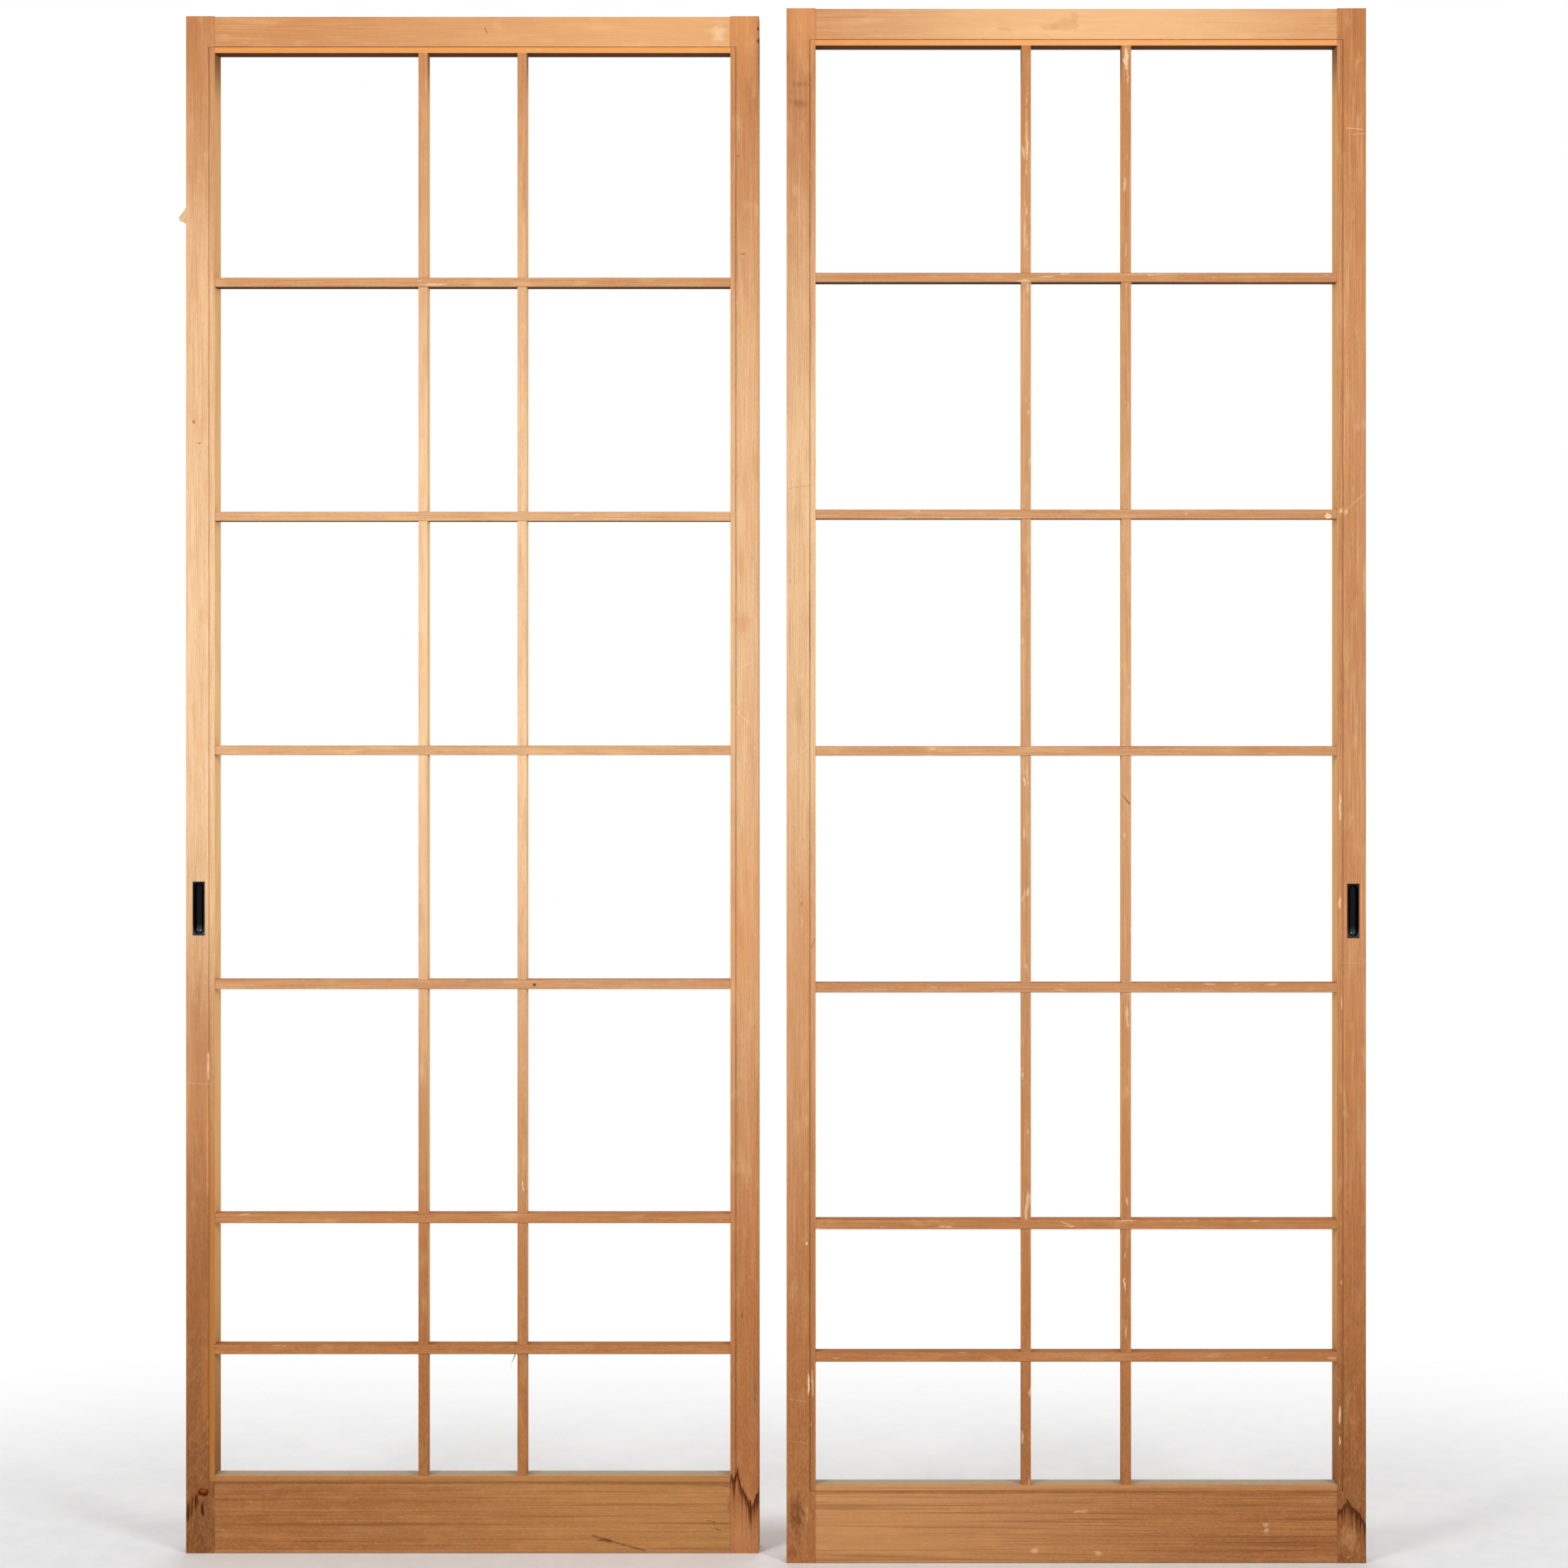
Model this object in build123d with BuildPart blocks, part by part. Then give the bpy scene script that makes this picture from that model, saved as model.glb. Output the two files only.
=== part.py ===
from build123d import *
import os

# A pair of sliding lattice panels for paper, in millimetres.
# X runs along the tracks, -Y is the paper side, and Z is up from the floor.

# One panel
panel_width = 671
panel_height = 1800
panel_thickness = 30

# The two panels beside each other, the right one on the track nearer the paper side
panel_gap = 33
passing_clearance = 3

# Frame members, as wide as they show from the front
stile_face = 33.5
top_rail_face = 42
bottom_rail_face = 89.5
stile_overrun = 0.75
stile_arris = 0.8

# Shallow rebate round the opening, which takes the edge of the paper
paper_rebate_width = 6.8
paper_rebate_depth = 1.2

# The head and foot run in grooves: the rails are as thick as the tongue from edge to edge,
# and the stiles are thinned to it from the back, at their ends only
tongue_thickness = 21
head_tongue_height = 18
foot_tongue_height = 3

# Through tenons of the rails
rail_tenon_thickness = 10
rail_tenon_setback = 6
top_tenon_height = 20
top_tenon_shoulder = 4
bottom_tenon_height = 27
bottom_tenon_shoulder = 9
glue_clearance = 0.1

# Lattice of two upright bars and six cross bars
bar_face = 11
bar_depth = 16
bar_arris = 0.4
middle_column_width = 105
short_cell_height = 142.5
short_cell_count = 2
cross_bar_count = 6
bar_tenon_face = 5
bar_tenon_depth = 10
bar_tenon_length = 6
mortise_end_gap = 0.4
lap_clearance = 0.05

# Finger pull, let into both faces of the outer stile
pull_width = 14
pull_height = 63
pull_depth = 8.5
pull_proud = 0.3
pull_rim_chamfer = 0.25
pull_centre_from_edge = 15
pull_centre_height = 755
pull_fit = 0.1
recess_width = 10.8
recess_length = 59.5
recess_depth = 6.6
recess_floor_strip = 1.2

# Heights of the rails and of the opening between them
bottom_rail_low = stile_overrun
opening_low = bottom_rail_low + bottom_rail_face
top_rail_high = panel_height - stile_overrun
opening_high = top_rail_high - top_rail_face
opening_height = opening_high - opening_low
opening_middle = (opening_low + opening_high) / 2
opening_width = panel_width - 2 * stile_face

# Depth of the centres of the bars and of the rail tenons behind a panel's paper side
bar_setback = paper_rebate_depth + bar_depth / 2
rail_tenon_centre = rail_tenon_setback + rail_tenon_thickness / 2

# Centre height of each cross bar, counted from the top
tall_cell_count = cross_bar_count + 1 - short_cell_count
cells_total = opening_height - cross_bar_count * bar_face
tall_cell_height = (cells_total - short_cell_count * short_cell_height) / tall_cell_count
cross_bar_heights = []
next_bar_low = opening_low
for row in range(cross_bar_count):
    next_bar_low += short_cell_height if row < short_cell_count else tall_cell_height
    cross_bar_heights.insert(0, next_bar_low + bar_face / 2)
    next_bar_low += bar_face

# Height of each rail tenon's centre, with the tenon's height
top_tenons = [(opening_high + top_tenon_shoulder + top_tenon_height / 2, top_tenon_height)]
bottom_tenon_inset = bottom_tenon_shoulder + bottom_tenon_height / 2
bottom_tenons = [
    (bottom_rail_low + bottom_tenon_inset, bottom_tenon_height),
    (opening_low - bottom_tenon_inset, bottom_tenon_height),
]


def facing_plane(y):
    """Upright plane at a depth y that faces the paper side, with X and Z as its own axes."""
    return Plane.XZ.offset(-y)



def build_stile(centre_x, inward, front_y):
    """One stile. inward is the direction along X in which its opening lies."""
    back_y = front_y + panel_thickness
    outer_x = centre_x - inward * stile_face / 2
    inner_x = centre_x + inward * stile_face / 2
    with BuildPart() as stile:
        with BuildSketch(Plane.XY):
            with Locations((centre_x, (front_y + back_y) / 2)):
                Rectangle(stile_face, panel_thickness)
        extrude(amount=panel_height)
        outer_edges = stile.edges().filter_by(Axis.Z).group_by(Axis.X)[0 if inward > 0 else -1]
        chamfer(outer_edges, stile_arris)

        # Tongues at the head and the foot
        with BuildSketch(facing_plane(back_y)):
            with Locations((centre_x, panel_height - head_tongue_height / 2)):
                Rectangle(stile_face, head_tongue_height)
            with Locations((centre_x, foot_tongue_height / 2)):
                Rectangle(stile_face, foot_tongue_height)
        extrude(amount=panel_thickness - tongue_thickness, mode=Mode.SUBTRACT)

        # Rebate for the paper, with square ends level with the rebates in the rails
        with BuildSketch(facing_plane(front_y)):
            with Locations((inner_x - inward * paper_rebate_width / 2, opening_middle)):
                Rectangle(paper_rebate_width, opening_height + 2 * paper_rebate_width)
        extrude(amount=-paper_rebate_depth, mode=Mode.SUBTRACT)

        # Through mortises for the rails
        with BuildSketch(Plane.YZ.offset(outer_x)):
            for tenon_z, tenon_height in top_tenons + bottom_tenons:
                with Locations((front_y + rail_tenon_centre, tenon_z)):
                    Rectangle(rail_tenon_thickness + 2 * glue_clearance, tenon_height + 2 * glue_clearance)
        extrude(amount=inward * stile_face, mode=Mode.SUBTRACT)

        # Blind mortises for the cross bars
        with BuildSketch(Plane.YZ.offset(inner_x)):
            with Locations([(front_y + bar_setback, z) for z in cross_bar_heights]):
                Rectangle(bar_tenon_depth + 2 * glue_clearance, bar_tenon_face + 2 * glue_clearance)
        extrude(amount=-inward * (bar_tenon_length + mortise_end_gap), mode=Mode.SUBTRACT)
    return stile.part


def build_outer_stile(centre_x, inward, front_y, pull_x):
    """The stile that carries a finger pull in each of its faces."""
    with BuildPart() as outer_stile:
        add(build_stile(centre_x, inward, front_y))
        pocket_depth = pull_depth - pull_proud
        for face_y, depth in ((front_y, -pocket_depth), (front_y + panel_thickness, pocket_depth)):
            with BuildSketch(facing_plane(face_y)):
                with Locations((pull_x, pull_centre_height)):
                    Rectangle(pull_width + 2 * pull_fit, pull_height + 2 * pull_fit)
            extrude(amount=depth, mode=Mode.SUBTRACT)
    return outer_stile.part


def build_rail(centre_x, front_y, span, into_rail, tenons, upright_xs):
    """One rail. span is its lowest and highest height, and into_rail is 1 for the top rail and -1
    for the bottom rail: the direction along Z from the opening into the rail."""
    low, high = span
    opening_edge = low if into_rail > 0 else high
    with BuildPart() as rail:
        with BuildSketch(Plane.YZ.offset(centre_x)):
            with Locations((front_y + tongue_thickness / 2, (low + high) / 2)):
                Rectangle(tongue_thickness, high - low)
        extrude(amount=opening_width / 2, both=True)

        # The tenons run through both stiles and end flush with their outer edges
        with BuildSketch(Plane.YZ.offset(centre_x)):
            for tenon_z, tenon_height in tenons:
                with Locations((front_y + rail_tenon_centre, tenon_z)):
                    Rectangle(rail_tenon_thickness, tenon_height)
        extrude(amount=panel_width / 2, both=True)

        # Rebate for the paper
        with BuildSketch(facing_plane(front_y)):
            with Locations((centre_x, opening_edge + into_rail * paper_rebate_width / 2)):
                Rectangle(opening_width, paper_rebate_width)
        extrude(amount=-paper_rebate_depth, mode=Mode.SUBTRACT)

        # Blind mortises for the upright bars
        with BuildSketch(Plane.XY.offset(opening_edge)):
            with Locations([(x, front_y + bar_setback) for x in upright_xs]):
                Rectangle(bar_tenon_face + 2 * glue_clearance, bar_tenon_depth + 2 * glue_clearance)
        extrude(amount=into_rail * (bar_tenon_length + mortise_end_gap), mode=Mode.SUBTRACT)
    return rail.part


def build_upright_bar(bar_x, bar_y):
    """One upright bar, notched at the front to let every cross bar pass."""
    with BuildPart() as upright_bar:
        with BuildSketch(Plane.XY.offset(opening_middle)):
            with Locations((bar_x, bar_y)):
                Rectangle(bar_face, bar_depth)
        extrude(amount=opening_height / 2, both=True)
        chamfer(upright_bar.edges().filter_by(Axis.Z), bar_arris)
        with BuildSketch(Plane.XY.offset(opening_middle)):
            with Locations((bar_x, bar_y)):
                Rectangle(bar_tenon_face, bar_tenon_depth)
        extrude(amount=opening_height / 2 + bar_tenon_length, both=True)
        with BuildSketch(facing_plane(bar_y)):
            with Locations([(bar_x, z) for z in cross_bar_heights]):
                Rectangle(bar_face, bar_face + 2 * lap_clearance)
        extrude(amount=bar_depth / 2, mode=Mode.SUBTRACT)
    return upright_bar.part


def build_cross_bar(centre_x, bar_y, bar_z, upright_xs):
    """One cross bar, notched at the back over each upright bar and unbroken at the front."""
    with BuildPart() as cross_bar:
        with BuildSketch(Plane.YZ.offset(centre_x)):
            with Locations((bar_y, bar_z)):
                Rectangle(bar_depth, bar_face)
        extrude(amount=opening_width / 2, both=True)
        chamfer(cross_bar.edges().filter_by(Axis.X), bar_arris)
        with BuildSketch(Plane.YZ.offset(centre_x)):
            with Locations((bar_y, bar_z)):
                Rectangle(bar_tenon_depth, bar_tenon_face)
        extrude(amount=opening_width / 2 + bar_tenon_length, both=True)
        with BuildSketch(facing_plane(bar_y)):
            with Locations([(x, bar_z) for x in upright_xs]):
                Rectangle(bar_face + 2 * lap_clearance, bar_face)
        extrude(amount=-bar_depth / 2, mode=Mode.SUBTRACT)
    return cross_bar.part


def build_pull(pull_x, face_y, outward):
    """One moulded pull. outward is the direction along Y in which its face looks."""
    rim_y = face_y + outward * pull_proud
    with BuildPart() as pull:
        with BuildSketch(facing_plane(rim_y)):
            with Locations((pull_x, pull_centre_height)):
                Rectangle(pull_width, pull_height)
        extrude(amount=outward * pull_depth)
        rim_face = pull.faces().sort_by(Axis.Y)[0 if outward < 0 else -1]
        chamfer(rim_face.edges(), pull_rim_chamfer)

        # Round-ended finger recess with a hollowed, boat-shaped floor
        with BuildSketch(facing_plane(rim_y)):
            with Locations((pull_x, pull_centre_height)):
                SlotOverall(recess_length, recess_width, rotation=90)
        extrude(amount=outward * recess_depth, mode=Mode.SUBTRACT)
        recess_floor = pull.faces().filter_by(Axis.Y).sort_by(Axis.Y)[1]
        fillet(recess_floor.edges(), (recess_width - recess_floor_strip) / 2)
    return pull.part


def write_node(name, part):
    """Label a finished piece and write it to its own file."""
    part.label = name
    export_step(part, f"parts/{name}.step")


os.makedirs("parts", exist_ok=True)

# hand is the direction along X from a panel's middle to its outer stile
for side, hand in (("left", -1), ("right", 1)):
    centre_x = hand * (panel_gap + panel_width) / 2
    front_y = passing_clearance / 2 if side == "left" else -passing_clearance / 2 - panel_thickness
    back_y = front_y + panel_thickness
    bar_y = front_y + bar_setback
    upright_offset = (middle_column_width + bar_face) / 2
    upright_xs = [centre_x - upright_offset, centre_x + upright_offset]

    # Frame
    stile_offset = (panel_width - stile_face) / 2
    pull_x = centre_x + hand * (panel_width / 2 - pull_centre_from_edge)
    outer_stile = build_outer_stile(centre_x + hand * stile_offset, -hand, front_y, pull_x)
    write_node(f"{side}_outer_stile", outer_stile)
    meeting_stile = build_stile(centre_x - hand * stile_offset, hand, front_y)
    write_node(f"{side}_meeting_stile", meeting_stile)
    head_span = (opening_high, top_rail_high)
    top_rail = build_rail(centre_x, front_y, head_span, 1, top_tenons, upright_xs)
    write_node(f"{side}_top_rail", top_rail)
    foot_span = (bottom_rail_low, opening_low)
    bottom_rail = build_rail(centre_x, front_y, foot_span, -1, bottom_tenons, upright_xs)
    write_node(f"{side}_bottom_rail", bottom_rail)

    # Lattice, with its bars counted from the left and from the top
    for number, upright_x in enumerate(upright_xs, start=1):
        write_node(f"{side}_upright_bar_{number}", build_upright_bar(upright_x, bar_y))
    for number, bar_z in enumerate(cross_bar_heights, start=1):
        write_node(f"{side}_cross_bar_{number}", build_cross_bar(centre_x, bar_y, bar_z, upright_xs))

    # Pulls
    write_node(f"{side}_front_pull", build_pull(pull_x, front_y, -1))
    write_node(f"{side}_back_pull", build_pull(pull_x, back_y, 1))
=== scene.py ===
import math
import random

import bmesh
import bpy
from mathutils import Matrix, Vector


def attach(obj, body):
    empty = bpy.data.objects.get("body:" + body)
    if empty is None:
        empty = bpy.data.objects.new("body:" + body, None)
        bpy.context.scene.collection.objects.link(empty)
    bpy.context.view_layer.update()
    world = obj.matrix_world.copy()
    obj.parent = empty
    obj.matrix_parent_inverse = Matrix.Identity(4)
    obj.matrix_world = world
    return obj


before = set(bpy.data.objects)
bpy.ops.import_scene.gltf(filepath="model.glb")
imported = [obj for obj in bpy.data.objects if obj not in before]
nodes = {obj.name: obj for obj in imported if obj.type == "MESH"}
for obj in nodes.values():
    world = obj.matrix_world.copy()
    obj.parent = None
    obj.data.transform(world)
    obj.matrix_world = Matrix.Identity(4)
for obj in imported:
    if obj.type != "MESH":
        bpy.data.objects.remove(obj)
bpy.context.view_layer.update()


# The four stiles
#
# Upright boards of old straight-grained cedar, planed and left bare. The rails' tenons run right
# through them and show on their edges. They are paler at mid height, partly from sunlight and
# partly a painted pool of light, and browner at the feet, partly from dampness and partly painted
# shade.
# The two outer stiles carry the finger pulls.

# In metres: the depth of each panel's front face, the depth of the paper rebate cut into it, and
# the two heights that the rebate runs between
LEFT_FRONT, RIGHT_FRONT = 0.0015, -0.0315
REBATE_DEPTH = 0.0012
BOTTOM_RAIL_TOP, TOP_RAIL_FOOT = 0.0834, 1.7641
REBATE_SPAN = (BOTTOM_RAIL_TOP, TOP_RAIL_FOOT)


def shade(red, green, blue):
    """A colour from its everyday numbers, 0 to 255."""
    return tuple(((level / 255 + 0.055) / 1.055) ** 2.4 for level in (red, green, blue)) + (1.0,)


class Signal:
    """One output of a finish's nodes. A sum written on it adds its nodes to the same finish."""

    def __init__(self, socket):
        self.socket = socket

    def node(self, kind, settings, inputs, out=0):
        """A new node: its settings first, then the numbers or signals on its sockets."""
        tree = self.socket.id_data
        made = tree.nodes.new("ShaderNode" + kind)
        for name, value in settings.items():
            if name == "stops":
                stops = made.color_ramp.elements
                while len(stops) < len(value):
                    stops.new(0.5)
                for stop, (position, colour) in zip(stops, value):
                    stop.position = position
                    stop.color = colour
            else:
                setattr(made, name, value)
        for name, value in inputs.items():
            if isinstance(value, Signal):
                tree.links.new(value.socket, made.inputs[name])
            else:
                made.inputs[name].default_value = value
        return Signal(made.outputs[out])

    def work(self, operation, *values, out=0):
        """One step of arithmetic on numbers, or on vectors where this signal is one."""
        kind = "VectorMath" if self.socket.type == "VECTOR" else "Math"
        return self.node(kind, {"operation": operation}, dict(enumerate(values)), out)

    def __add__(self, other):
        return self.work("ADD", self, other)

    __radd__ = __add__

    def __sub__(self, other):
        return self.work("SUBTRACT", self, other)

    def __rsub__(self, other):
        return self.work("SUBTRACT", other, self)

    def __mul__(self, other):
        return self.work("MULTIPLY", self, other)

    __rmul__ = __mul__

    def __truediv__(self, other):
        return self.work("DIVIDE", self, other)

    def __pow__(self, other):
        return self.work("POWER", self, other)

    def __abs__(self):
        return self.work("ABSOLUTE", self)

    def either(self, other):
        """The larger of the two."""
        return self.work("MAXIMUM", self, other)

    def length(self):
        return self.work("LENGTH", self, out=1)

    def parts(self):
        """The X, Y and Z of a vector, each a signal of its own."""
        split = self.node("SeparateXYZ", {}, {0: self})
        return [Signal(output) for output in split.socket.node.outputs]

    def rise(self, low, high):
        """0 below low and 1 above high, eased between them. It falls instead where low is more."""
        limits = {"Value": self, "From Min": low, "From Max": high}
        return self.node("MapRange", {"interpolation_type": "SMOOTHSTEP"}, limits)

    def cloud(self, stretch, seed, detail=2.0, distortion=0.0):
        """Soft noise round 0.5, at so many lumps a metre along X, Y and Z."""
        vector = self * stretch + (seed * 7.3, seed * 3.1, seed * 5.7)
        inputs = {"Vector": vector, "Scale": 1.0, "Detail": detail, "Distortion": distortion}
        return self.node("TexNoise", {}, inputs)

    def blend(self, colour, other):
        """colour where this signal is 0, and other where it is 1."""
        return self.node("Mix", {"data_type": "RGBA"}, {0: self, 6: colour, 7: other}, 2)


def new_finish(name):
    """An empty finish, and its first signal: where on the object a point of it lies."""
    finish = bpy.data.materials.new(name)
    finish.use_nodes = True
    finish.node_tree.nodes.clear()
    return finish, Signal(finish.node_tree.nodes.new("ShaderNodeTexCoord").outputs["Object"])


def close_finish(finish, surface):
    """End a finish with the shader that it shows."""
    output = finish.node_tree.nodes.new("ShaderNodeOutputMaterial")
    finish.node_tree.links.new(surface.socket, output.inputs["Surface"])


def refinish(name, finish):
    """Give a finish to a member or a pull, in place of the plain one it came with."""
    nodes[name].data.materials.clear()
    nodes[name].data.materials.append(finish)


class Board:
    """The bare wood of one member: growth rings round a far pith, fibres, age and marks.

    along is the axis of the grain, and pith the ring centre's place across and behind the piece.
    front is the depth of the panel's front face. sunned, browned and foot run from 0 to 1: how far
    it is paler at mid height, partly from sunlight and partly a painted pool of light; how far it
    has darkened in broad patches; and how far its foot is browner, partly from dampness and partly
    painted shade. lines is how
    dark the rings are. Each of knots is a place and a size. Marks lie on the paper side only."""

    def __init__(
        self, name, along, pith, front, seed, sunned_and_lit, browned,
        foot=0.6, lines=0.40, ring_width=0.0020, knots=(),
    ):
        self.finish, self.place = new_finish(name)
        self.axis = "xyz".index(along)
        x, y, z = self.place.parts()
        self.x, self.z = x, z
        rebate_face = front + REBATE_DEPTH
        self.paper_side = y.rise(rebate_face + 0.0005, rebate_face + 0.0003)
        across = x if along == "z" else z
        ragged_stretch = (240.0, 240.0, 100.0) if along == "z" else (100.0, 240.0, 240.0)
        self.ragged = self.place.cloud(ragged_stretch, 4.0 + seed, 3.0)

        def grained(slow, cross):
            """Lumps a metre: slow along the grain and cross over it."""
            return tuple(slow if number == self.axis else cross for number in range(3))

        # Growth rings: distance from the pith, which wanders along the tree and bows round knots
        wander = self.place.cloud(grained(1.3, 1.5), seed, 1.0) - 0.5
        ripple = self.place.cloud(grained(9.0, 26.0), seed + 1, 2.0) - 0.5
        sideways = across - pith[0] + wander * 0.030
        behind = y - pith[1]
        radius = (sideways * sideways + behind * behind) ** 0.5 + ripple * 0.0010
        for knot_x, knot_z, size in knots:
            swelling = self.spot(knot_x, knot_z, size * 2.2, size * 6.0, rim=0.0)
            radius = radius + swelling * size * 0.8
        uneven = radius.node("CombineXYZ", {}, {0: radius * 70.0, 1: seed})
        turns = radius * (1 / ring_width) + uneven.node("TexNoise", {}, {0: uneven, 2: 1.0}) * 2.4
        phase = turns.work("FRACT", turns)
        late_wood = phase.rise(0.30, 0.86) * phase.rise(1.0, 0.92)
        ring_number = turns.node("CombineXYZ", {}, {0: turns.work("FLOOR", turns) * 0.37, 1: seed})
        boldness = ring_number.node("TexNoise", {}, {0: ring_number, 2: 1.0}).rise(0.25, 0.7)
        faded = self.place.cloud(grained(3.0, 45.0), seed + 2, 2.0).rise(0.2, 0.65)
        rings = late_wood * (boldness * 0.7 + 0.3) * (faded * 0.6 + 0.4)

        # Fibres, flecks, and the broad mottle of a hand-planed face
        fibres = self.place.cloud(grained(14.0, 900.0), seed + 3, 3.0)
        flecks = self.place.cloud(grained(70.0, 1300.0), seed + 4, 1.0).rise(0.69, 0.77)
        mottle = self.place.cloud(grained(9.0, 60.0), seed + 5, 3.0, 0.3)
        curl = self.place.cloud(grained(210.0, 560.0), seed + 7, 2.0)
        broad = self.place.cloud(grained(2.2, 9.0), seed + 6, 1.0)

        # Colour by height: paler in the middle, partly sunlight bleaching and partly a painted pool
        # of light, and browner at the foot, partly dampness and partly painted shade
        height = z + (broad - 0.5) * 0.22
        sun_and_painted_light = height.rise(0.20, 1.05) * height.rise(1.90, 1.15)
        damp_and_painted_shade = height.rise(0.62, -0.05)
        self.colour = (sun_and_painted_light * sunned_and_lit).blend(shade(196, 131, 82), shade(255, 219, 173))
        self.stain(damp_and_painted_shade * foot, shade(114, 73, 44))
        self.stain((broad.rise(0.30, 0.85) * 0.7 + 0.3) * browned, shade(158, 98, 57))
        self.stain(rings * (lines + damp_and_painted_shade * 0.15), shade(150, 87, 44))
        self.stain(fibres.rise(0.45, 0.75) * 0.30, shade(158, 98, 54))
        self.stain(fibres.rise(0.50, 0.22) * (1 - damp_and_painted_shade * 0.8) * 0.22, shade(255, 222, 176))
        self.stain(mottle.rise(0.48, 0.80) * 0.28, shade(166, 100, 56))
        self.stain(mottle.rise(0.46, 0.20) * (1 - damp_and_painted_shade * 0.7) * 0.22, shade(255, 216, 160))
        self.stain(curl.rise(0.42, 0.75) * (damp_and_painted_shade * 0.20 + 0.08), shade(206, 140, 76))
        self.stain(curl.rise(0.54, 0.28) * (damp_and_painted_shade * 0.12 + 0.08), shade(120, 70, 32))
        self.stain(flecks * 0.32, shade(104, 58, 32))
        raised = self.place.cloud(grained(150.0, 850.0), seed + 8, 2.0).rise(0.60, 0.72)
        self.stain(raised * (sun_and_painted_light * sunned_and_lit * 0.22 + 0.03), shade(255, 226, 178))
        blotch = self.place.cloud(grained(26.0, 75.0), seed + 9, 2.0)
        self.stain(blotch.rise(0.52, 0.76) * 0.22, shade(214, 142, 84))
        self.stain(blotch.rise(0.44, 0.24) * (1 - damp_and_painted_shade * 0.7) * 0.16, shade(255, 216, 152))

        # Faces turned sideways are golden, partly wood kept from sunlight and partly painted light
        # bounced from behind. Just below the top rail they get a painted shadow, faces turned down
        # get painted shade, and end grain drinks in more dirt.
        facing = self.place.node("NewGeometry", {}, {}, 1).parts()
        side_face, upward = abs(facing[0]).rise(0.6, 0.8), facing[2]
        self.stain(side_face * damp_and_painted_shade.rise(1.0, 0.2) * 0.5, shade(250, 195, 122))
        # Painted shadow of the top rail, darkening the side faces just below it
        self.stain(side_face * z.rise(1.690, 1.757) * 0.75, shade(92, 56, 30))
        # Painted shade on the faces turned down
        self.stain(upward.rise(-0.5, -0.8) * 0.92, shade(64, 40, 24))
        self.stain(abs(facing[self.axis]).rise(0.6, 0.8) * 0.6, shade(120, 72, 40))
        self.turned_up = upward.rise(0.5, 0.9)

        self.relief = fibres * 0.5 + rings * 0.5 + mottle * 0.35
        self.roughness = 0.66 + fibres * 0.20 - rings * 0.08

    def stain(self, mask, colour):
        """Lay a colour over the wood where mask is 1."""
        self.colour = mask.blend(self.colour, colour)

    def spot(self, x, z, half_width, half_height, ragged=0.0, rim=0.45):
        """1 inside an upright oval, falling to 0 at its rim."""
        distance = ((self.place - (x, 0, z)) * (1 / half_width, 0, 1 / half_height)).length()
        if ragged:
            distance = distance + (self.ragged - 0.5) * ragged
        return distance.rise(1.0, rim)

    def mark(self, x, z, half_width, half_height, colour, strength=0.8, ragged=1.0, rim=0.45):
        """A patch of dirt, paste, bruise or bleach on the front face."""
        mask = self.spot(x, z, half_width, half_height, ragged, rim)
        self.stain(mask * self.paper_side * strength, colour)

    def knot(self, x, z, half_width, half_height, strength=0.9):
        """A small knot: an orange heart in a dark rim that is thickest below."""
        rim = self.spot(x, z, half_width, half_height, 0.9, 0.6)
        heart = self.spot(x, z + half_height * 0.3, half_width * 0.7, half_height * 0.6, 0.7, 0.2)
        self.stain(rim * self.paper_side * strength, shade(84, 34, 14))
        self.stain(heart * self.paper_side * strength * 0.6, shade(176, 84, 34))

    def scratch(self, start, finish, width, colour, strength=0.7):
        """A thin line from one (x, z) to another on the front face, worn away in places."""
        run = (finish[0] - start[0], 0, finish[1] - start[1])
        from_start = (self.place - (start[0], 0, start[1])) * (1, 0, 1)
        share = from_start.work("DOT_PRODUCT", from_start, run, out=1)
        share = share.node("Clamp", {}, {0: share * (1 / (run[0] ** 2 + run[2] ** 2))})
        nearest = from_start.node("VectorMath", {"operation": "SCALE"}, {0: run, 3: share})
        aside = (from_start - nearest).length() + (self.ragged - 0.5) * width * 1.6
        broken = self.ragged.rise(0.30, 0.58) * 0.75 + 0.25
        self.stain(aside.rise(width, width * 0.2) * broken * self.paper_side * strength, colour)

    def seam(self, coordinate, at, width, strength=0.7, span=None):
        """A dark thin line where the piece meets its neighbour or its own rebate wall.
        span is the lowest and highest height of a line that stops short."""
        aside = abs(coordinate - at)
        line = aside.rise(width, width * 0.35) * (self.ragged.rise(0.2, 0.55) * 0.6 + 0.4)
        if span:
            low, high = span
            line = line * self.z.rise(low, low + 0.0005) * self.z.rise(high, high - 0.0005)
        self.stain(line * strength, shade(84, 44, 24))

    def paste(self, amount):
        """Dry paste and paper fibre left where the paper was stuck. amount runs from 0 to 1."""
        stretch = (28.0, 90.0, 150.0) if self.axis == 0 else (150.0, 90.0, 28.0)
        patches = self.place.cloud(stretch, 17.0, 3.0, 0.25)
        edge = 0.74 - amount * 0.2
        self.stain(patches.rise(edge, edge + 0.06) * self.paper_side * 0.5, shade(238, 208, 170))

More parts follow.
